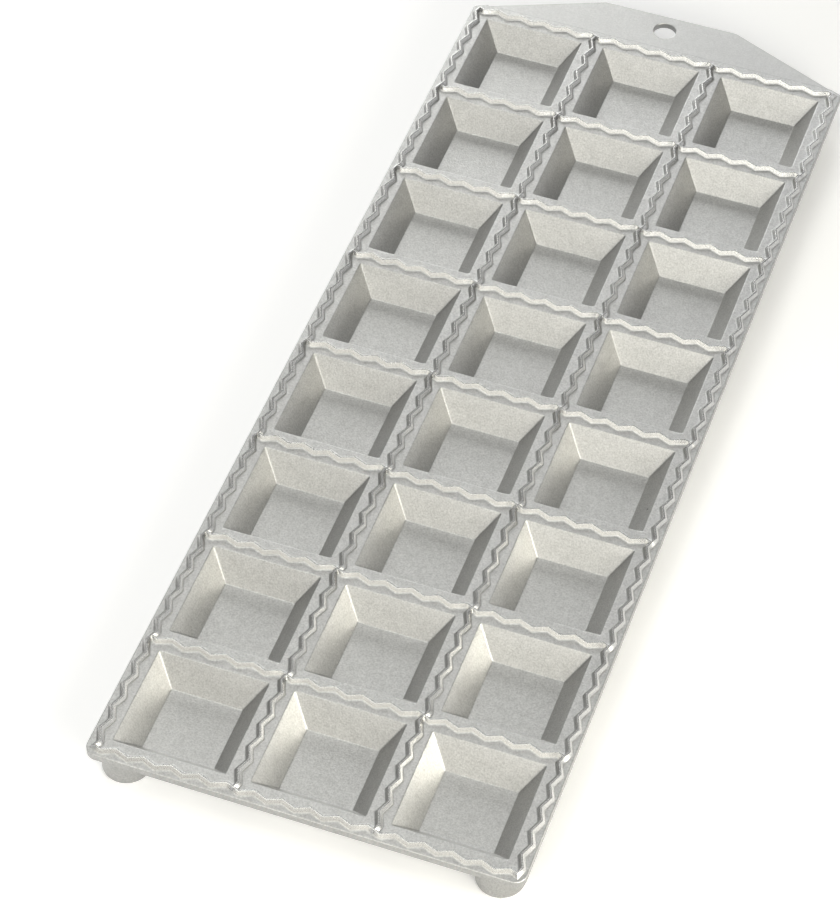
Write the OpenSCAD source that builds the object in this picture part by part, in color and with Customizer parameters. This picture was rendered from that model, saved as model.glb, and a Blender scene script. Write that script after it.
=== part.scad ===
// Cast aluminium ravioli tray: a flat plate with rows of tapered square pockets, a zigzag
// cutting ridge round every pocket, a tapering tab with a hanging hole, and four short feet.
// X runs across the columns, Y along the rows towards the tab, Z up from the table.

/* [Pockets] */
// Pockets side by side across the tray
columns = 3; // [1:1:6]
// Pockets one behind another along the tray
rows = 8; // [1:1:12]
// Distance between the centre lines of two neighbouring ridges, the size of one cut square
pitch = 36; // [34:0.5:44]
// Side of the square pocket at the plate's upper face
pocket_opening = 29.5; // [26:0.5:30]
// Side of the pocket's flat floor
pocket_floor = 19; // [14:0.5:23]
// Depth of the floor below the plate's upper face
pocket_depth = 7; // [4:0.25:8]
// Corner radius between two pocket walls, at the floor
pocket_corner_r = 0.3; // [0.3:0.1:2]

/* [Casting] */
// Height of the plate's upper face above the table
deck_height = 11.5; // [10.8:0.1:20]
// Thickness of the flat plate
plate_t = 2.3; // [1.2:0.1:3.2]
// Wall thickness of the pockets under the plate
pocket_wall = 1.8; // [1:0.1:2.2]
// Flat margin outside the centre line of the outermost ridges
margin = 2.3; // [2.2:0.05:6]
// Radius of the two corners at the end away from the tab, seen from above
end_corner_r = 3; // [1:0.2:8]

/* [Cutting ridges] */
// Height of the ridge above the plate
ridge_height = 1.1; // [0.5:0.1:2]
// Width of the ridge where it meets the plate
ridge_width = 1.9; // [1.2:0.1:2.2]
// Width of the narrow flat along the crest
crest_width = 0.45; // [0.1:0.05:0.6]
// How far the zigzag swings to each side of its centre line
swing = 0.72; // [0.3:0.02:1]
// Full waves of the zigzag along one pocket
waves = 5; // [3:1:8]

/* [Hanging tab] */
// Reach of the tab beyond the last ridge's centre line
tab_reach = 17.1; // [12:0.1:30]
// Width of the tab's straight outer end
tab_end_width = 40.3; // [20:0.1:70]
// Radius of the two corners at the tab's outer end
tab_corner_r = 3; // [1:0.5:12]
// Where the tab's slanted sides start, beyond the last ridge's centre line
shoulder_reach = 1.45; // [0.8:0.05:4]
// Radius of the corners between the straight and the slanted sides
shoulder_r = 1.2; // [0.4:0.2:6]
// Step from the plate's upper face down to the tab's
tab_step = 0.4; // [0.2:0.1:0.8]
// Distance of that step from the last ridge's centre line
step_reach = 2.7; // [2.3:0.1:5]
// Diameter of the hanging hole
hole_d = 6.5; // [4:0.1:10]
// Distance of the hole's centre from the tab's outer end
hole_inset = 6.3; // [5.5:0.1:8]

/* [Feet] */
// Diameter of a foot
foot_d = 12.4; // [8:0.2:14]
// Distance of a foot's centre from the outer ridge lines at its corner
foot_inset = 5.6; // [4.8:0.1:8]
// Chamfer round the bottom edge of a foot
foot_chamfer = 0.6; // [0.2:0.1:1.5]

/* [Hidden] */
overlap = 0.3;                  // how deep one joined shape reaches into the next
arc_steps = 12;                 // straight pieces in each rounded corner of the outline
grid_x = columns * pitch;       // width of the whole pocket field between its outer ridge lines
grid_y = rows * pitch;          // its length
back_y = (grid_y + margin - tab_reach) / 2;   // last ridge line, with the whole length centred on Y = 0
front_y = back_y - grid_y;
edge_x = grid_x / 2 + margin;
edge_y = front_y - margin;

// Pockets: how far the walls lean in for each millimetre of depth
wall_run = (pocket_opening - pocket_floor) / 2 / pocket_depth;
draft = atan(wall_run);
function pocket_side(depth) = pocket_opening - 2 * wall_run * depth;
function shell_side(depth) = pocket_side(depth) + 2 * pocket_wall / cos(draft);

// Ridges: the zigzag crosses each crossing in the middle of a slanted stretch, so the two
// ridges that meet there stand square to each other, both turned by the same small angle.
wave = pitch / waves;
slant = atan(4 * swing / wave);
flank_run = (ridge_width - crest_width) / 2 / ridge_height;
half_root = ridge_width / 2 + flank_run * overlap;   // half width at the buried root
half_crest = crest_width / 2;
kinks = 2 * waves;              // bends of one ridge between two crossings
x_arms = columns * (rows + 1);  // ridge stretches that run along X
y_arms = rows * (columns + 1);  // and along Y

// The section has two levels: 0 is the buried root, 1 is the crest
function level_half(level) = level == 0 ? half_root : half_crest;
function level_z(level) = deck_height + (level == 0 ? -overlap : ridge_height);

// Corner q of a crossing, counted anticlockwise from +X +Y
corner_signs = [[1, 1], [-1, 1], [-1, -1], [1, -1]];
function crossing_xy(i, j) = [i * pitch - grid_x / 2, front_y + j * pitch];
function turned(v, angle) = [v.x * cos(angle) - v.y * sin(angle), v.x * sin(angle) + v.y * cos(angle)];
function corner_point(i, j, q, level) =
    let (xy = crossing_xy(i, j) + level_half(level) * turned(corner_signs[q], -slant))
    [xy.x, xy.y, level_z(level)];

// Bend k of the ridge stretch that leaves a crossing along the unit vector u. Side 1 lies to
// the left of u and side -1 to the right.
function bend_point(start, u, k, side, level) =
    let (left = [-u.y, u.x],
         along = wave / 4 + k * wave / 2,
         sideways = (k % 2 == 0 ? -swing : swing) + side * level_half(level) / cos(slant),
         xy = start + along * u + sideways * left)
    [xy.x, xy.y, level_z(level)];

ridge_points = concat(
    [for (i = [0:columns], j = [0:rows], q = [0:3], level = [0:1]) corner_point(i, j, q, level)],
    [for (i = [0:columns - 1], j = [0:rows], k = [0:kinks - 1], side = [1, -1], level = [0:1])
        bend_point(crossing_xy(i, j), [1, 0], k, side, level)],
    [for (i = [0:columns], j = [0:rows - 1], k = [0:kinks - 1], side = [1, -1], level = [0:1])
        bend_point(crossing_xy(i, j), [0, 1], k, side, level)]);

// Places in that list
function corner_at(i, j, q, level) = ((i * (rows + 1) + j) * 4 + q) * 2 + level;
function bend_at(arm, k, side, level) =
    (columns + 1) * (rows + 1) * 8 + ((arm * kinks + k) * 2 + side) * 2 + level;
function x_arm(i, j) = i * (rows + 1) + j;
function y_arm(i, j) = x_arms + i * rows + j;

// A ring round the section: left root, left crest, right crest, right root
function corner_ring(i, j, left, right) =
    [corner_at(i, j, left, 0), corner_at(i, j, left, 1),
     corner_at(i, j, right, 1), corner_at(i, j, right, 0)];
function bend_ring(arm, k) =
    [bend_at(arm, k, 0, 0), bend_at(arm, k, 0, 1), bend_at(arm, k, 1, 1), bend_at(arm, k, 1, 0)];
function arm_rings(arm, first, last) = concat([first], [for (k = [0:kinks - 1]) bend_ring(arm, k)], [last]);
function skin(rings) =
    [for (r = [0:len(rings) - 2], e = [0:3])
        let (f = (e + 1) % 4) [rings[r][e], rings[r + 1][e], rings[r + 1][f], rings[r][f]]];

// Where no stretch leaves a crossing, its flank closes the ridge
function end_face(i, j, a, b) =
    [corner_at(i, j, a, 0), corner_at(i, j, b, 0), corner_at(i, j, b, 1), corner_at(i, j, a, 1)];

ridge_faces = concat(
    [for (i = [0:columns - 1], j = [0:rows])
        each skin(arm_rings(x_arm(i, j), corner_ring(i, j, 0, 3), corner_ring(i + 1, j, 1, 2)))],
    [for (i = [0:columns], j = [0:rows - 1])
        each skin(arm_rings(y_arm(i, j), corner_ring(i, j, 1, 0), corner_ring(i, j + 1, 2, 3)))],
    [for (i = [0:columns], j = [0:rows])
        each [[for (q = [3:-1:0]) corner_at(i, j, q, 1)], [for (q = [0:3]) corner_at(i, j, q, 0)]]],
    [for (j = [0:rows]) each [end_face(0, j, 2, 1), end_face(columns, j, 0, 3)]],
    [for (i = [0:columns]) each [end_face(i, 0, 3, 2), end_face(i, rows, 1, 0)]]);

module cutting_ridges() {
    polyhedron(points = ridge_points, faces = ridge_faces, convexity = 20);
}

// An arc that rounds one corner of an outline that runs anticlockwise
function corner_arc(before, corner, after, r) =
    let (u = (before - corner) / norm(before - corner),
         v = (after - corner) / norm(after - corner),
         half = acos(u * v) / 2,
         centre = corner + (u + v) / norm(u + v) * r / sin(half),
         first = corner + u * r / tan(half) - centre)
    [for (k = [0:arc_steps]) centre + turned(first, (180 - 2 * half) * k / arc_steps)];

function rounded(points, radii) =
    let (n = len(points))
    [for (k = [0:n - 1])
        each corner_arc(points[(k + n - 1) % n], points[k], points[(k + 1) % n], radii[k])];

// Seen from above: straight sides along the pockets, slanted sides along the tab
outline = rounded(
    [[-edge_x, edge_y], [edge_x, edge_y], [edge_x, back_y + shoulder_reach],
     [tab_end_width / 2, back_y + tab_reach], [-tab_end_width / 2, back_y + tab_reach],
     [-edge_x, back_y + shoulder_reach]],
    [end_corner_r, end_corner_r, shoulder_r, tab_corner_r, tab_corner_r, shoulder_r]);

// The plate and its tab, level underneath, with the tab a step lower on top
module plate() {
    difference() {
        translate([0, 0, deck_height - plate_t]) linear_extrude(height = plate_t) polygon(outline);
        translate([-edge_x, back_y + step_reach, deck_height - tab_step])
            cube([2 * edge_x, tab_reach, tab_step + overlap]);
    }
}

// A square block whose side grows evenly from the bottom to the top
module tapered_square(bottom_side, top_side, height, corner_r) {
    linear_extrude(height = height, scale = top_side / bottom_side)
        offset(r = corner_r, $fn = 16) square(bottom_side - 2 * corner_r, center = true);
}

module at_pockets() {
    for (i = [0:columns - 1], j = [0:rows - 1])
        translate([(i + 0.5) * pitch - grid_x / 2, front_y + (j + 0.5) * pitch, 0]) children();
}

module pocket_hollow() {
    translate([0, 0, deck_height - pocket_depth])
        tapered_square(pocket_floor, pocket_side(-overlap), pocket_depth + overlap, pocket_corner_r);
}

// The pocket's outside, which shows under the plate
module pocket_shell() {
    shell_depth = pocket_depth + pocket_wall;
    top_depth = plate_t - overlap;
    translate([0, 0, deck_height - shell_depth])
        tapered_square(shell_side(shell_depth), shell_side(top_depth), shell_depth - top_depth,
                       pocket_corner_r + pocket_wall);
}

module foot() {
    r = foot_d / 2;
    top = deck_height - plate_t + overlap;
    rotate_extrude($fn = 96)
        polygon([[0, 0], [r - foot_chamfer, 0], [r, foot_chamfer], [r, top], [0, top]]);
}

module at_feet() {
    for (x = [-1, 1] * (grid_x / 2 - foot_inset), y = [front_y + foot_inset, back_y - foot_inset])
        translate([x, y, 0]) children();
}

module hanging_hole() {
    translate([0, back_y + tab_reach - hole_inset, deck_height - plate_t - overlap])
        cylinder(d = hole_d, h = plate_t + 2 * overlap, $fn = 96);
}

// Cast in one piece
module ravioli_tray() {
    color([0.77, 0.77, 0.76]) {
        difference() {
            union() {
                plate();
                at_pockets() pocket_shell();
                at_feet() foot();
            }
            at_pockets() pocket_hollow();
            hanging_hole();
        }
        cutting_ridges();
    }
}

ravioli_tray();
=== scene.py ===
import math
import bmesh
import bpy
from mathutils import Euler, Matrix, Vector


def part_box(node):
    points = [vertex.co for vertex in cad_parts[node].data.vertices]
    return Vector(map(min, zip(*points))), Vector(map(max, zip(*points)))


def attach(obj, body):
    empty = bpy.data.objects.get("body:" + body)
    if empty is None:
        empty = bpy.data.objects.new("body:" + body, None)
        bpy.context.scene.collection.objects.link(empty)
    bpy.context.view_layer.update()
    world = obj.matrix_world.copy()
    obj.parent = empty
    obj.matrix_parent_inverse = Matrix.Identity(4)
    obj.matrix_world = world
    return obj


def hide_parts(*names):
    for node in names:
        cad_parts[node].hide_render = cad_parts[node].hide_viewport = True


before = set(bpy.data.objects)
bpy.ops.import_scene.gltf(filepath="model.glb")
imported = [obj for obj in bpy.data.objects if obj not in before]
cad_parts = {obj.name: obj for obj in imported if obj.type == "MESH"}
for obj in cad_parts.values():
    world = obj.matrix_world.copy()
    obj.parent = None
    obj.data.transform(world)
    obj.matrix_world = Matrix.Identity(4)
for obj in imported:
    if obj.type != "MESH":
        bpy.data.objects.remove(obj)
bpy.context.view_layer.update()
bpy.ops.object.select_all(action='DESELECT')  # the frame leaves its own nodes selected

mm = 0.001
hair = 0.002 * mm  # two points nearer than this are the same
tinyGap = 0.01 * mm  # for merging the edges of neighbouring copies

# The casting's own sizes, in millimetres; its outer levels come from the frame
casting = {
    "columns": 3, "rows": 8, "pitch": 36, "waves": 5, "swing": 0.72,
    "ridgeHeight": 1.1, "ridgeWidth": 1.9, "crestFlat": 0.45,
    "opening": 29.5, "floor": 19, "depth": 7, "cornerAtFloor": 0.3,
    "plate": 2.3, "wall": 1.8, "margin": 2.3, "tabReach": 17.1}

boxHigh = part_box("ravioli_tray")[1]
pitch = casting["pitch"] * mm
swing = casting["swing"] * mm
wave = pitch / casting["waves"]
deckZ = boxHigh.z - casting["ridgeHeight"] * mm
floorZ = deckZ - casting["depth"] * mm
underZ = deckZ - casting["plate"] * mm
backY = boxHigh.y - casting["tabReach"] * mm
frontY = backY - casting["rows"] * pitch
sideX = casting["columns"] * pitch / 2
edgeX = sideX + casting["margin"] * mm
middleZ = (deckZ + underZ) / 2  # half way through the plate


def shapeInHand():
    return bmesh.from_edit_mesh(bpy.context.edit_object.data)


def pointsOf(part):
    return [part] if isinstance(part, bmesh.types.BMVert) else list(part.verts)


def atLevel(z):
    return lambda part: all(abs(v.co.z - z) < hair for v in pointsOf(part))


# Selects what passes the test, and nothing else: "VERT", "EDGE" or "FACE"
def pick(kind, test):
    bpy.ops.mesh.select_mode(type=kind)
    bpy.ops.mesh.select_all(action='DESELECT')
    shape = shapeInHand()
    for part in {"VERT": shape.verts, "EDGE": shape.edges, "FACE": shape.faces}[kind]:
        if test(part):
            part.select_set(True)
    shape.select_flush_mode()
    bmesh.update_edit_mesh(bpy.context.edit_object.data)


def work(piece):
    if bpy.context.mode != 'OBJECT':
        bpy.ops.object.mode_set(mode='OBJECT')
    bpy.ops.object.select_all(action='DESELECT')
    piece.select_set(True)
    bpy.context.view_layer.objects.active = piece


def joinInto(piece, others):
    work(piece)
    for other in others:
        other.select_set(True)
    bpy.ops.object.join()


def faceUp():
    shape = shapeInHand()
    for face in shape.faces:
        if face.select and face.normal.z < 0:
            bpy.ops.mesh.flip_normals()
            break


# A new piece starts as one square face, with its place in its mesh
def startSquare(name, side, z):
    if bpy.context.mode != 'OBJECT':
        bpy.ops.object.mode_set(mode='OBJECT')
    bpy.ops.object.select_all(action='DESELECT')
    bpy.ops.mesh.primitive_plane_add(size=side, location=(0, 0, z))
    bpy.ops.object.transform_apply(location=True, rotation=True, scale=True)
    bpy.context.object.name = name
    bpy.ops.object.mode_set(mode='EDIT')
    return bpy.context.object


def roundCorners(radius, segments):
    bpy.ops.mesh.bevel(offset=radius, offset_type='OFFSET', segments=segments, profile=0.5, affect='VERTICES')


def roundEdges(radius, segments):
    bpy.ops.mesh.bevel(offset=radius, segments=segments, affect='EDGES')


def withinSquare(edge, side):
    return all(max(abs(v.co.x), abs(v.co.y)) < side / 2 + hair for v in edge.verts)


# A ridge's root is an edge of the deck from which one flank rises
def isRoot(edge):
    rising = [f for f in edge.link_faces if any(v.co.z > deckZ + hair for v in f.verts)]
    return atLevel(deckZ)(edge) and len(rising) == 1


# One pocket with the halves of the four ridges round it, out to their crests
cellShape = {"strip": 0.25, "outerStrip": 0.12, "rim": 0.8, "rimRound": 0.16, "floorFillet": 0.16,
             "roundSegments": 3, "rootFillet": 0.15, "rootSegments": 2, "cornerSegments": 4}

flankSlope = casting["ridgeHeight"] / ((casting["ridgeWidth"] - casting["crestFlat"]) / 2)
peakZ = deckZ + casting["ridgeWidth"] / 2 * flankSlope * mm  # where the two flanks would meet
crestCut = casting["crestFlat"] / 2 * math.hypot(1, flankSlope) * mm  # from there down to the crest's edge
mouthCorner = casting["cornerAtFloor"] * casting["opening"] / casting["floor"] * mm


def makeCell():
    half = pitch / 2
    quarter = wave / 4
    cell = startSquare("pocketCell", pitch, peakZ)
    bpy.ops.mesh.delete(type='ONLY_FACE')
    bpy.ops.mesh.select_all(action='SELECT')
    bpy.ops.mesh.subdivide(number_cuts=4 * casting["waves"] - 1)

    # the straight sides become zigzags: every second quarter wave is a bend, the rest goes
    def bend(alongX, turn):
        def test(v):
            across, along = (v.co.y, v.co.x) if alongX else (v.co.x, v.co.y)
            return abs(abs(across) - half) < swing / 2 and round((along + half) / quarter) % 4 == turn
        return test
    for alongX, turn, shift in ((True, 1, (0, -swing, 0)), (True, 3, (0, swing, 0)),
                                (False, 1, (swing, 0, 0)), (False, 3, (-swing, 0, 0))):
        pick("VERT", bend(alongX, turn))
        bpy.ops.transform.translate(value=shift)

    def between(v):
        onX = abs(abs(v.co.x) - half) < hair
        onY = abs(abs(v.co.y) - half) < hair
        return onX != onY
    pick("VERT", between)
    bpy.ops.mesh.dissolve_verts()
    bpy.ops.mesh.select_all(action='SELECT')
    bpy.ops.mesh.edge_face_add()
    faceUp()

    # flanks down to the deck, then a narrow strip round their foot
    bpy.ops.mesh.inset(thickness=casting["ridgeWidth"] / 2 * mm, depth=deckZ - peakZ)
    bpy.ops.mesh.inset(thickness=cellShape["strip"] * mm, depth=0)
    bpy.ops.mesh.delete(type='ONLY_FACE')

    # the pocket: a strip round its mouth, four leaning walls and the floor
    opening = casting["opening"] * mm
    rim = cellShape["rim"] * mm
    bpy.ops.mesh.primitive_plane_add(size=opening + 2 * rim, location=(0, 0, deckZ))
    roundCorners(mouthCorner + rim, cellShape["cornerSegments"])
    bpy.ops.mesh.inset(thickness=rim, depth=0)
    bpy.ops.mesh.extrude_region_move(TRANSFORM_OT_translate={"value": (0, 0, floorZ - deckZ)})
    shrink = casting["floor"] / casting["opening"]
    bpy.ops.transform.resize(value=(shrink, shrink, 1), center_override=(0, 0, floorZ))

    pick("EDGE", lambda e: atLevel(deckZ)(e) and withinSquare(e, opening))
    roundEdges(cellShape["rimRound"] * mm, cellShape["roundSegments"])
    pick("EDGE", atLevel(floorZ))
    roundEdges(cellShape["floorFillet"] * mm, cellShape["roundSegments"])
    pick("EDGE", isRoot)
    roundEdges(cellShape["rootFillet"] * mm, cellShape["rootSegments"])
    pick("EDGE", lambda e: e.is_boundary and atLevel(deckZ)(e))
    bpy.ops.mesh.fill(use_beauty=True)
    bpy.ops.object.mode_set(mode='OBJECT')
    return cell


def copyOverField(cell):
    copies = []
    for i in range(casting["columns"]):
        for j in range(casting["rows"]):
            work(cell)
            bpy.ops.object.duplicate()
            x = (i + 0.5) * pitch - sideX
            y = frontY + (j + 0.5) * pitch
            bpy.ops.transform.translate(value=(x, y, 0))
            copies.append(bpy.context.object)
    bpy.data.objects.remove(cell)
    joinInto(copies[0], copies[1:])
    field = copies[0]
    bpy.ops.object.transform_apply(location=True, rotation=True, scale=True)
    bpy.ops.object.mode_set(mode='EDIT')
    bpy.ops.mesh.select_all(action='SELECT')
    bpy.ops.mesh.remove_doubles(threshold=tinyGap)
    return field


# Extrudes the picked open edges: their new points move out of the faces and down
def extrudeRim(outwards, down):
    shape = shapeInHand()
    shape.verts.ensure_lookup_table()
    sides = {}
    for edge in shape.edges:
        if edge.select:
            a, b = edge.verts
            along = (b.co - a.co).normalized()
            side = Vector((along.y, -along.x, 0))
            inside = edge.link_faces[0].calc_center_median() - (a.co + b.co) / 2
            if side.dot(inside) > 0:
                side.negate()
            for v in (a, b):
                sides.setdefault(v.index, []).append(side)
    moves = []
    for i, pair in sides.items():
        mitre = (pair[0] + pair[1]) * outwards / (1 + pair[0].dot(pair[1]))
        moves.append((shape.verts[i].co.copy(), mitre))
    bpy.ops.mesh.extrude_edges_move()
    shape = shapeInHand()
    fresh = [v for v in shape.verts if v.select]
    for start, move in moves:
        near = min(fresh, key=lambda v: (v.co - start).length_squared)
        near.co = start + move + Vector((0, 0, -down))
        fresh.remove(near)
    bmesh.update_edit_mesh(bpy.context.edit_object.data)


def addOuterFlanks(field):
    pick("EDGE", lambda e: e.is_boundary and atLevel(peakZ)(e))
    extrudeRim(casting["ridgeWidth"] / 2 * mm, peakZ - deckZ)
    extrudeRim(cellShape["outerStrip"] * mm, 0)
    bpy.ops.object.mode_set(mode='OBJECT')


# The plate's and tab's outline, seen from above, with the hanging hole; a corner is its cut and its segments
plateShape = {"tabStart": 1.45, "tabEndWidth": 40.3, "nearCorner": (3.0, 8), "shoulderCorner": (0.8, 4),
              "tabCorner": (0.62, 3), "ring": 0.3, "stepPlace": 2.7, "stepRun": 0.25, "step": 0.4,
              "edgeRound": 0.26, "edgeSegments": 3, "holeReach": 10.8, "holeWidth": 6.5, "holePoints": 64,
              "sidePoints": 59}
nearY = frontY - casting["margin"] * mm
holeY = backY + plateShape["holeReach"] * mm
stepTopY = backY + plateShape["stepPlace"] * mm
stepFootY = stepTopY + plateShape["stepRun"] * mm


def cutCorners(y, corner):
    cut, segments = corner
    pick("VERT", lambda v: abs(v.co.y - y) < hair)
    roundCorners(cut * mm, segments)


# Drops what lies inside a ring of quads
def dropBigFace():
    pick("FACE", lambda f: len(f.verts) > 4)
    bpy.ops.mesh.delete(type='ONLY_FACE')


# Only a narrow band along the outline and one round the hole; their sharp loops are marked as seams
def makePlateFace(z):
    ring = plateShape["ring"] * mm
    shoulderY = backY + plateShape["tabStart"] * mm
    endY = boxHigh.y
    endX = plateShape["tabEndWidth"] / 2 * mm
    face = startSquare("plateFace", 1, z)
    bpy.ops.transform.resize(value=(2 * edgeX, shoulderY - nearY, 1))
    bpy.ops.transform.translate(value=(0, (shoulderY + nearY) / 2, 0))
    pick("EDGE", lambda e: all(abs(v.co.y - shoulderY) < hair for v in e.verts))
    bpy.ops.mesh.extrude_edges_move(TRANSFORM_OT_translate={"value": (0, endY - shoulderY, 0)})
    bpy.ops.transform.resize(value=(endX / edgeX, 1, 1), center_override=(0, endY, z))
    bpy.ops.mesh.select_all(action='SELECT')
    bpy.ops.mesh.dissolve_faces()
    cutCorners(nearY, plateShape["nearCorner"])
    cutCorners(shoulderY, plateShape["shoulderCorner"])
    cutCorners(endY, plateShape["tabCorner"])
    pick("EDGE", lambda e: e.calc_length() > pitch)  # points along the long sides keep the fill regular
    bpy.ops.mesh.subdivide(number_cuts=plateShape["sidePoints"])
    bpy.ops.mesh.select_all(action='SELECT')
    bpy.ops.mesh.inset(thickness=ring, depth=0)
    bpy.ops.mesh.select_all(action='SELECT')
    bpy.ops.mesh.region_to_loop()
    bpy.ops.mesh.mark_seam()
    dropBigFace()
    bpy.ops.mesh.primitive_circle_add(vertices=plateShape["holePoints"], fill_type='NGON',
                                      radius=plateShape["holeWidth"] / 2 * mm + ring, location=(0, holeY, z))
    bpy.ops.mesh.inset(thickness=ring, depth=0)
    bpy.ops.mesh.region_to_loop()
    bpy.ops.mesh.mark_seam()
    dropBigFace()
    bpy.ops.object.mode_set(mode='OBJECT')
    return face


# Under the plate each pocket shows as a blunt boss
bossShape = {"ring": 1.1, "rootFillet": 0.9, "bottomRound": 0.8, "roundSegments": 3, "cornerAtBottom": 2.1,
             "cornerSegments": 6}


def makeBoss():
    lean = (casting["opening"] - casting["floor"]) / 2 / casting["depth"]
    grow = 2 * casting["wall"] * math.hypot(1, lean)
    root = (casting["opening"] - 2 * lean * casting["plate"] + grow) * mm
    bottom = (casting["opening"] - 2 * lean * (casting["depth"] + casting["wall"]) + grow) * mm
    bottomZ = floorZ - casting["wall"] * mm
    ring = bossShape["ring"] * mm
    boss = startSquare("boss", root + 2 * ring, underZ)
    roundCorners(bossShape["cornerAtBottom"] * root / bottom * mm + ring, bossShape["cornerSegments"])
    bpy.ops.mesh.inset(thickness=ring, depth=0)
    bpy.ops.mesh.extrude_region_move(TRANSFORM_OT_translate={"value": (0, 0, bottomZ - underZ)})
    bpy.ops.transform.resize(value=(bottom / root, bottom / root, 1), center_override=(0, 0, bottomZ))
    pick("EDGE", lambda e: atLevel(underZ)(e) and withinSquare(e, root))
    roundEdges(bossShape["rootFillet"] * mm, bossShape["roundSegments"])
    pick("EDGE", atLevel(bottomZ))
    roundEdges(bossShape["bottomRound"] * mm, bossShape["roundSegments"])
    bpy.ops.object.mode_set(mode='OBJECT')
    return boss


# Fills between the open loops of one level; the seam loops are left for the bridges
def fillFlat(z):
    bpy.ops.object.mode_set(mode='EDIT')
    pick("EDGE", lambda e: e.is_boundary and not e.seam and atLevel(z)(e))
    bpy.ops.mesh.fill(use_beauty=True)
    bpy.ops.object.mode_set(mode='OBJECT')


# Joins the upper face to the lower one, round the outline or through the hole
def bridge(aroundHole):
    reach = (plateShape["holeWidth"] / 2 + plateShape["ring"]) * mm

    def test(edge):
        nearHole = all(math.hypot(v.co.x, v.co.y - holeY) < reach for v in edge.verts)
        return edge.is_boundary and nearHole == aroundHole
    pick("EDGE", test)
    bpy.ops.mesh.bridge_edge_loops()


# The tab lies a little lower than the plate
def stepDownToTab():
    for y in (stepTopY, stepFootY):
        bpy.ops.mesh.select_all(action='SELECT')
        bpy.ops.mesh.bisect(plane_co=(0, y, 0), plane_no=(0, 1, 0))
    pick("VERT", lambda v: v.co.y > stepFootY - hair and abs(v.co.z - deckZ) < hair)
    bpy.ops.transform.translate(value=(0, 0, -plateShape["step"] * mm))


ridgeRound = {"crestWear": 0.07, "crestReach": 0.04, "flatSegments": 1, "root": 0.1, "rootSegments": 2}


# The ridges' peaks are cut to flat crests with worn edges, and the sharp rims of the plate are rounded
def roundOff():
    def outside(edge):
        return all(abs(v.co.x) > sideX or v.co.y > backY or v.co.y < frontY for v in edge.verts)
    pick("EDGE", lambda e: isRoot(e) and outside(e))
    roundEdges(ridgeRound["root"] * mm, ridgeRound["rootSegments"])
    pick("EDGE", atLevel(peakZ))
    roundEdges(crestCut, ridgeRound["flatSegments"])
    pick("VERT", lambda v: abs(v.co.z - boxHigh.z) < ridgeRound["crestReach"] * mm)
    bpy.ops.transform.resize(value=(1, 1, 0), center_override=(0, 0, boxHigh.z))  # the cut leaves them uneven
    pick("EDGE", lambda e: atLevel(boxHigh.z)(e) and not all(atLevel(boxHigh.z)(f) for f in e.link_faces))
    roundEdges(ridgeRound["crestWear"] * mm, ridgeRound["flatSegments"])
    pick("EDGE", lambda e: e.seam)
    roundEdges(plateShape["edgeRound"] * mm, plateShape["edgeSegments"])


def combine(piece, other, operation):
    work(piece)
    change = piece.modifiers.new(operation, 'BOOLEAN')
    change.operation = operation
    change.solver = 'EXACT'
    change.object = other
    bpy.ops.object.modifier_apply(modifier=change.name)
    bpy.data.objects.remove(other)


footShape = {"width": 12.4, "inset": 5.6, "bottomRound": 0.6, "roundSegments": 3, "points": 96,
             "clearOfPocket": 0.9, "cornerSegments": 4}


# A foot reaches up into the plate and stops inside the pocket's wall
def makeFoot(sideways, lengthways):
    x = sideways * (sideX - footShape["inset"] * mm)
    y = (backY - footShape["inset"] * mm) if lengthways > 0 else (frontY + footShape["inset"] * mm)
    bpy.ops.object.select_all(action='DESELECT')
    bpy.ops.mesh.primitive_cylinder_add(vertices=footShape["points"], radius=footShape["width"] / 2 * mm,
                                        depth=middleZ, location=(x, y, middleZ / 2))
    bpy.ops.object.transform_apply(location=True, rotation=True, scale=True)
    foot = bpy.context.object
    foot.name = "foot"
    bpy.ops.object.mode_set(mode='EDIT')
    pick("EDGE", atLevel(0))
    roundEdges(footShape["bottomRound"] * mm, footShape["roundSegments"])

    # the pocket above it, grown into its wall, is cut away
    grow = 2 * footShape["clearOfPocket"]
    mouth = (casting["opening"] + grow) * mm
    shrink = (casting["floor"] + grow) / (casting["opening"] + grow)
    bottomZ = floorZ - footShape["clearOfPocket"] * mm
    cutter = startSquare("cutter", mouth, deckZ)
    roundCorners(mouthCorner + footShape["clearOfPocket"] * mm, footShape["cornerSegments"])
    bpy.ops.mesh.extrude_region_move(TRANSFORM_OT_translate={"value": (0, 0, bottomZ - deckZ)})
    bpy.ops.transform.resize(value=(shrink, shrink, 1), center_override=(0, 0, bottomZ))
    bpy.ops.mesh.select_all(action='SELECT')
    middleY = (backY - pitch / 2) if lengthways > 0 else (frontY + pitch / 2)
    bpy.ops.transform.translate(value=(sideways * (sideX - pitch / 2), middleY, 0))
    bpy.ops.mesh.normals_make_consistent(inside=False)
    combine(foot, cutter, 'DIFFERENCE')
    return foot


def makeTray():
    tray = copyOverField(makeCell())
    addOuterFlanks(tray)
    joinInto(tray, [makePlateFace(deckZ)])
    fillFlat(deckZ)
    print("upper face")
    under = copyOverField(makeBoss())
    joinInto(under, [makePlateFace(underZ)])
    fillFlat(underZ)
    joinInto(tray, [under])
    print("under face")
    bpy.ops.object.mode_set(mode='EDIT')
    bridge(False)
    bridge(True)
    stepDownToTab()
    bpy.ops.mesh.select_all(action='SELECT')
    bpy.ops.mesh.normals_make_consistent(inside=False)
    roundOff()
    bpy.ops.object.mode_set(mode='OBJECT')
    print("edges rounded")
    feet = [makeFoot(sideways, lengthways) for sideways in (-1, 1) for lengthways in (-1, 1)]
    joinInto(feet[0], feet[1:])
    combine(tray, feet[0], 'UNION')
    print("feet joined")
    tray.name = "castTray"
    return tray


smoothing = {"sharpAngle": 35, "flatWeight": 80}


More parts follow.
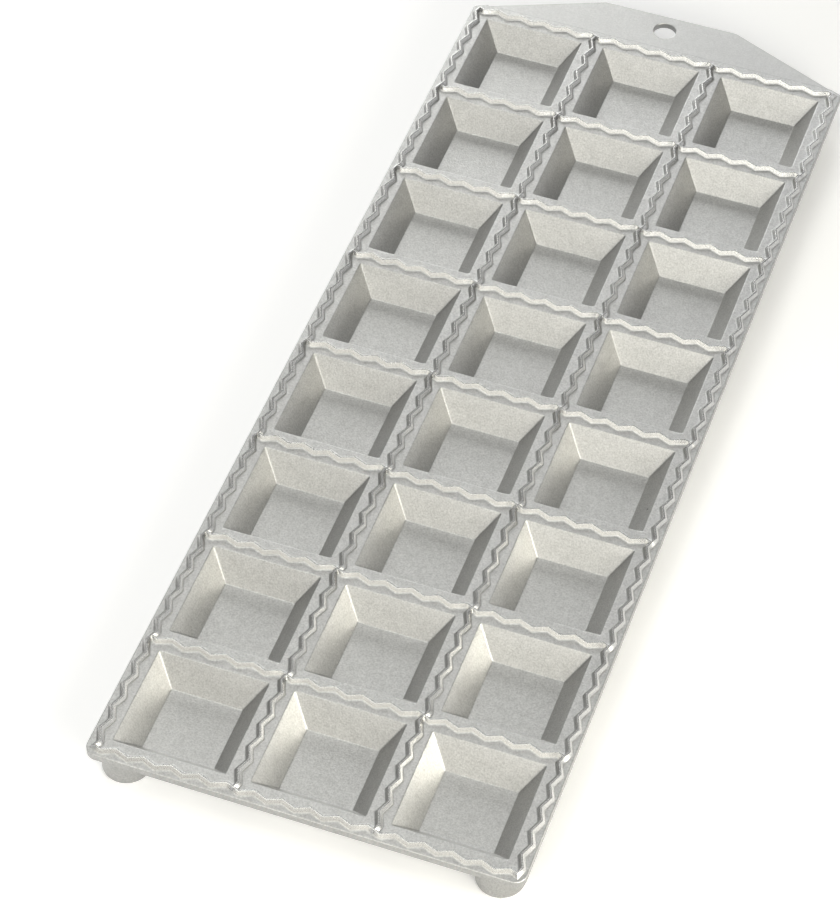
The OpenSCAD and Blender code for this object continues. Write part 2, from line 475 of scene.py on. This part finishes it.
# Flat faces stay flat and the rounded edges between them are shaded smoothly
def smoothFaces(piece):
    work(piece)
    bpy.ops.object.shade_smooth_by_angle(angle=math.radians(smoothing["sharpAngle"]))
    flats = piece.modifiers.new("flats", 'WEIGHTED_NORMAL')
    flats.keep_sharp = True
    flats.weight = smoothing["flatWeight"]
    bpy.ops.object.modifier_apply(modifier=flats.name)


# A maths node in a node tree; a and b are numbers or other nodes' outputs
def maths(tree, operation, a, b):
    made = tree.nodes.new("ShaderNodeMath")
    made.operation = operation
    for socket, value in zip(made.inputs, (a, b)):
        if isinstance(value, (int, float)):
            socket.default_value = value
        else:
            tree.links.new(value, socket)
    return made.outputs[0]


def ramp(tree, value, fromMin, fromMax, toMin, toMax):
    made = tree.nodes.new("ShaderNodeMapRange")
    for socket, number in zip(("From Min", "From Max", "To Min", "To Max"), (fromMin, fromMax, toMin, toMax)):
        made.inputs[socket].default_value = number
    tree.links.new(value, made.inputs["Value"])
    return made.outputs["Result"]


def axesOf(tree, vector):
    apart = tree.nodes.new("ShaderNodeSeparateXYZ")
    tree.links.new(vector, apart.inputs["Vector"])
    return apart.outputs


# One mask for every ray that looks at the background: the camera's, and those the metal sends on
def seenRays(tree):
    rays = tree.nodes.new("ShaderNodeLightPath").outputs
    bounced = maths(tree, 'MAXIMUM', rays["Is Glossy Ray"], rays["Is Transmission Ray"])
    return maths(tree, 'MAXIMUM', rays["Is Camera Ray"], bounced)


# The cast skin: a fine blasted grain, slow changes of tone and a few dark pinholes.
# Each noise has a scale, a detail and a roughness.
grainShape = {"fine": (2300, 2, 0.6), "coarse": (420, 3, 0.5), "cloud": (45, 2, 0.5), "middle": 0.5,
              "coarseShare": 0.25, "bumpHeight": 0.1, "pinholes": 62, "pinholeWidth": 0.022,
              "pinholeShare": 0.12}


def makeCastGrain():
    group = bpy.data.node_groups.new("castGrain", "ShaderNodeTree")
    for name in ("Amount", "Depth", "Speckle", "Clouds", "Pinholes"):
        group.interface.new_socket(name, in_out='INPUT', socket_type='NodeSocketFloat')
    group.interface.new_socket("Shade", in_out='OUTPUT', socket_type='NodeSocketFloat')
    group.interface.new_socket("Normal", in_out='OUTPUT', socket_type='NodeSocketVector')
    nodes, links = group.nodes, group.links
    given = nodes.new("NodeGroupInput").outputs
    result = nodes.new("NodeGroupOutput").inputs
    place = nodes.new("ShaderNodeTexCoord").outputs["Object"]

    def noise(name):
        made = nodes.new("ShaderNodeTexNoise")
        for socket, value in zip(("Scale", "Detail", "Roughness"), grainShape[name]):
            made.inputs[socket].default_value = value
        links.new(place, made.inputs["Vector"])
        return made.outputs["Fac"]

    def aroundZero(value):
        return maths(group, 'SUBTRACT', value, grainShape["middle"])

    fine = noise("fine")
    coarse = maths(group, 'MULTIPLY', aroundZero(noise("coarse")), grainShape["coarseShare"])
    flecks = maths(group, 'ADD', aroundZero(fine), coarse)
    drift = maths(group, 'MULTIPLY', aroundZero(noise("cloud")), given["Clouds"])
    speckle = maths(group, 'MULTIPLY', given["Speckle"], given["Amount"])
    even = maths(group, 'ADD', maths(group, 'ADD', 1, drift), maths(group, 'MULTIPLY', flecks, speckle))

    # a pinhole sits at the middle of a few of the cells
    cells = nodes.new("ShaderNodeTexVoronoi")
    cells.inputs["Scale"].default_value = grainShape["pinholes"]
    links.new(place, cells.inputs["Vector"])
    chosen = nodes.new("ShaderNodeSeparateColor")
    links.new(cells.outputs["Color"], chosen.inputs["Color"])
    few = maths(group, 'LESS_THAN', chosen.outputs["Red"], grainShape["pinholeShare"])
    small = maths(group, 'LESS_THAN', cells.outputs["Distance"], grainShape["pinholeWidth"])
    pinholes = maths(group, 'MULTIPLY', maths(group, 'MULTIPLY', few, small), given["Pinholes"])
    links.new(maths(group, 'MULTIPLY', even, maths(group, 'SUBTRACT', 1, pinholes)), result["Shade"])
    bump = nodes.new("ShaderNodeBump")
    bump.inputs["Distance"].default_value = grainShape["bumpHeight"] * mm
    links.new(given["Depth"], bump.inputs["Strength"])
    links.new(maths(group, 'MULTIPLY', fine, given["Amount"]), bump.inputs["Height"])
    links.new(bump.outputs["Normal"], result["Normal"])
    return group


# Ridges begin at a height above the deck, and the painted shade of sides and undersides at a share of facing
# up
castSkin = {"colour": (0.63, 0.63, 0.62), "roughness": 0.44, "depth": 0.6, "speckle": 0.8, "clouds": 0.12,
            "pinholes": 0.6, "ridgeFrom": 0.1, "ridgeTo": 0.3, "ridgeRoughness": 0.27, "grainOnRidges": 0.45,
            "tabBlend": 0.5, "grainOnTab": 0.45, "paintedStepShadeDark": 0.45, "paintedStepShadeWidth": 0.4,
            "sideFrom": 0.1, "sideTo": 0.4, "paintedSideShade": 0.68}


# Ridges and tab are smoother than the field, and painted shade darkens the skin along the step's foot and on
# the sides and undersides
def makeCastMetal(name, skin, grain):
    metal = bpy.data.materials.new(name)
    metal.use_nodes = True
    tree = metal.node_tree
    shader = tree.nodes["Principled BSDF"].inputs
    shader["Metallic"].default_value = 1
    coordinates = tree.nodes.new("ShaderNodeTexCoord").outputs
    place = axesOf(tree, coordinates["Object"])
    facing = axesOf(tree, coordinates["Normal"])

    def onRidges(deckValue, ridgeValue):
        ridgeStart = deckZ + skin["ridgeFrom"] * mm
        ridgeEnd = deckZ + skin["ridgeTo"] * mm
        return ramp(tree, place["Z"], ridgeStart, ridgeEnd, deckValue, ridgeValue)

    def alongTray(fromY, toY, fromValue, toValue):
        return ramp(tree, place["Y"], fromY, toY, fromValue, toValue)

    tree.links.new(onRidges(skin["roughness"], skin["ridgeRoughness"]), shader["Roughness"])
    skinGrain = tree.nodes.new("ShaderNodeGroup")
    skinGrain.node_tree = grain
    blend = skin["tabBlend"] * mm
    tabGrain = alongTray(stepFootY - blend, stepFootY + blend, 1, skin["grainOnTab"])
    amount = maths(tree, 'MULTIPLY', tabGrain, onRidges(1, skin["grainOnRidges"]))
    tree.links.new(amount, skinGrain.inputs["Amount"])
    for socket in ("Depth", "Speckle", "Clouds", "Pinholes"):
        skinGrain.inputs[socket].default_value = skin[socket.lower()]
    tree.links.new(skinGrain.outputs["Normal"], shader["Normal"])

    # painted shade: a dark line across the top face along the step's foot, where the step would throw shade
    # on the tab
    width = skin["paintedStepShadeWidth"] * mm
    darkest = skin["paintedStepShadeDark"]
    before = alongTray(stepFootY - width, stepFootY, 0, darkest)
    after = alongTray(stepFootY, stepFootY + width, darkest, 0)
    onTop = maths(tree, 'GREATER_THAN', place["Z"], middleZ)
    paintedStepShade = maths(tree, 'MULTIPLY', maths(tree, 'MINIMUM', before, after), onTop)
    # painted shade: faces that point sideways or down get a darker base colour
    paintedSideShade = ramp(tree, facing["Z"], skin["sideFrom"], skin["sideTo"], skin["paintedSideShade"], 1)
    shade = maths(tree, 'MULTIPLY', maths(tree, 'SUBTRACT', skinGrain.outputs["Shade"], paintedStepShade), paintedSideShade)
    colour = tree.nodes.new("ShaderNodeVectorMath")
    colour.operation = 'SCALE'
    colour.inputs[0].default_value = skin["colour"]
    tree.links.new(shade, colour.inputs["Scale"])
    tree.links.new(colour.outputs[0], shader["Base Color"])
    return metal


# The camera stands as the photograph's did, in millimetres from the middle of the last ridge line
view = {"lens": 133.36, "sensor": 36, "turn": (41.4155, -0.8859, 19.6120), "place": (172.04, -717.59, 654.63)}


def placeCamera():
    camera = bpy.data.objects.new("camera", bpy.data.cameras.new("camera"))
    bpy.context.scene.collection.objects.link(camera)
    camera.data.lens = view["lens"]
    camera.data.sensor_width = view["sensor"]
    camera.location = Vector((0, backY, deckZ)) + Vector(view["place"]) * mm
    camera.rotation_euler = Euler([math.radians(angle) for angle in view["turn"]])
    bpy.context.scene.camera = camera


floorShape = {"size": 20, "colour": (0.97, 0.97, 0.97, 1), "glowLeft": 0.42, "glowRight": 0.08,
              "glowEdge": 0.12, "fadeFrom": 0.3, "fadeTo": 0.9}


# The floor keeps its shadow; a glow that only the camera and the metal see lifts it to white
def makeFloor():
    bpy.ops.object.select_all(action='DESELECT')
    bpy.ops.mesh.primitive_plane_add(size=floorShape["size"])
    floor = bpy.context.object
    floor.name = "paleFloor"
    paint = bpy.data.materials.new("paleFloor")
    paint.use_nodes = True
    tree = paint.node_tree
    shader = tree.nodes["Principled BSDF"].inputs
    shader["Base Color"].default_value = floorShape["colour"]
    shader["Roughness"].default_value = 1
    shader["Specular IOR Level"].default_value = 0
    shader["Emission Color"].default_value = (1, 1, 1, 1)
    place = tree.nodes.new("ShaderNodeTexCoord").outputs["Object"]
    sideways = axesOf(tree, place)["X"]
    edge = floorShape["glowEdge"]
    nearGlow = ramp(tree, sideways, -edge, edge, floorShape["glowLeft"], floorShape["glowRight"])
    away = tree.nodes.new("ShaderNodeVectorMath")
    away.operation = 'LENGTH'
    tree.links.new(place, away.inputs[0])
    farGlow = ramp(tree, away.outputs["Value"], floorShape["fadeFrom"], floorShape["fadeTo"], 0, 1)
    glow = maths(tree, 'MAXIMUM', nearGlow, farGlow)
    tree.links.new(maths(tree, 'MULTIPLY', glow, seenRays(tree)), shader["Emission Strength"])
    floor.data.materials.append(paint)


# White all round where the floor ends, and a dim room above
horizon = {"white": 0.10, "dark": 0.20, "room": 0.15}


def makeRoom():
    world = bpy.data.worlds.new("room")
    bpy.context.scene.world = world
    world.use_nodes = True
    tree = world.node_tree
    background = tree.nodes["Background"].inputs
    background["Color"].default_value = (1, 1, 1, 1)
    upwards = axesOf(tree, tree.nodes.new("ShaderNodeTexCoord").outputs["Generated"])["Z"]
    band = ramp(tree, upwards, horizon["white"], horizon["dark"], 1, 0)
    seenBand = maths(tree, 'MULTIPLY', band, seenRays(tree))
    tree.links.new(maths(tree, 'ADD', seenBand, horizon["room"]), background["Strength"])


# Soft square lamps: a name, a place in metres, a width, a power and a colour
warm = (1, 0.965, 0.86)
plain = (1, 1, 0.96)
cool = (0.95, 0.97, 1)
lamps = (("nearLamp", (-0.2, -0.8, 0.45), 0.5, 0.74, warm),
         ("nearLowLamp", (0.1, -0.7, 0.2), 0.3, 0.22, warm),
         ("nearHighLamp", (0, -0.97, 1.0), 0.55, 2.0, plain),
         ("rightNearLamp", (0.33, -0.35, 0.2), 0.2, 1.25, warm),
         ("rightLowLamp", (0.45, -0.15, 0.15), 0.2, 1.1, warm),
         ("rightFloorLamp", (0.5, 0.02, 0.09), 0.15, 0.14, warm),
         ("farLamp", (0, 1.3, 0.7), 0.5, 1.35, cool),
         ("farLeftLamp", (-0.55, 1.2, 0.7), 0.5, 2.6, plain),
         ("farLowLamp", (-0.8, 1.35, 0.35), 0.5, 2.3, cool),
         ("topLamp", (0, 0.3, 0.8), 0.4, 0.28, plain),
         ("topLeftLamp", (-0.25, 0.1, 0.8), 0.4, 0.75, plain),
         ("leftHighLamp", (-0.53, -0.3, 1.25), 0.55, 2.6, plain))


def setLights():
    for name, place, width, power, colour in lamps:
        light = bpy.data.lights.new(name, 'AREA')
        light.shape = 'SQUARE'
        light.size = width
        light.energy = power
        light.color = colour
        lamp = bpy.data.objects.new(name, light)
        lamp.location = place
        lamp.rotation_euler = (-Vector(place)).to_track_quat('-Z', 'Y').to_euler()  # towards the origin
        lamp.visible_camera = False
        bpy.context.scene.collection.objects.link(lamp)


tray = makeTray()
smoothFaces(tray)
grain = makeCastGrain()
tray.data.materials.clear()
tray.data.materials.append(makeCastMetal("castAluminium", castSkin, grain))
print("metal set")
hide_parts("ravioli_tray")
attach(tray, "root")

placeCamera()
makeFloor()
makeRoom()
setLights()
bpy.context.scene.view_settings.view_transform = 'Standard'
print("camera, floor and lamps set")
